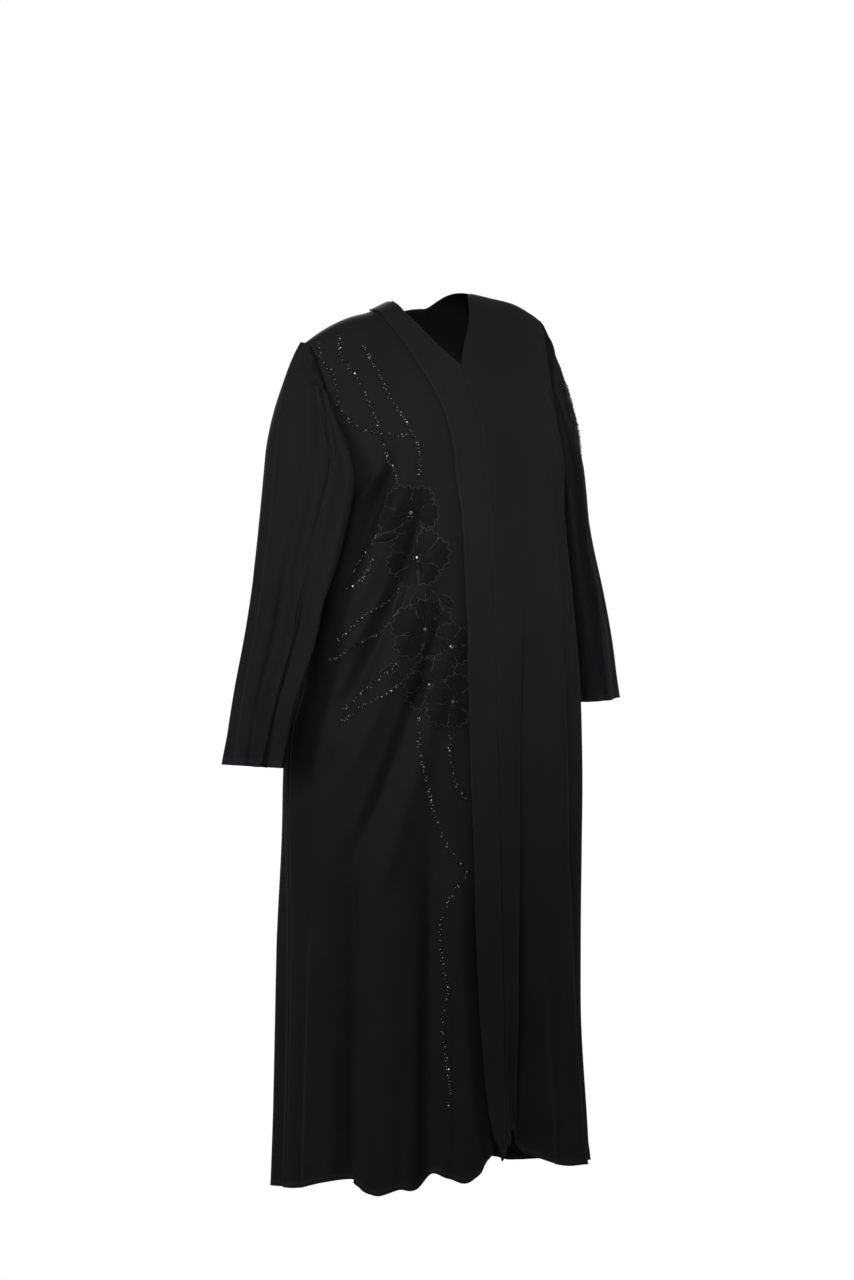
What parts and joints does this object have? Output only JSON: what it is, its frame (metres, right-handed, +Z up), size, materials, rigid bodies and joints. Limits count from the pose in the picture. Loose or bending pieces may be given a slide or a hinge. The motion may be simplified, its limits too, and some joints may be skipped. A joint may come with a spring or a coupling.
{
  "type": "abaya cloak",
  "caption": "Open-front black abaya cloak of crepe, as worn: long set-in sleeves gathered at the head, a front band from shoulder to hem, flower and bead embroidery, open neck, cuffs and hem",
  "frame": {"origin": "between the two points where the shoulders carry the cloak, at shoulder height", "axes": "+Z up, the front faces -Y, +X is the wearer's left"},
  "size_m": [0.6597, 0.4355, 1.403],
  "materials": {
    "crepe": "matte black crepe with a soft sheen and a fine pebbled weave",
    "band_crepe": "the same black crepe, doubled and pressed flat along its folded edge",
    "thread": "black embroidery thread with a satin sheen",
    "crystal": "small faceted grey and clear crystals and beads"
  },
  "bodies": {
    "root": {"back": "crepe", "front_right": "crepe", "front_left": "crepe", "front_band": "band_crepe", "sleeve_right": "crepe", "sleeve_left": "crepe"}
  },
  "joints": []
}
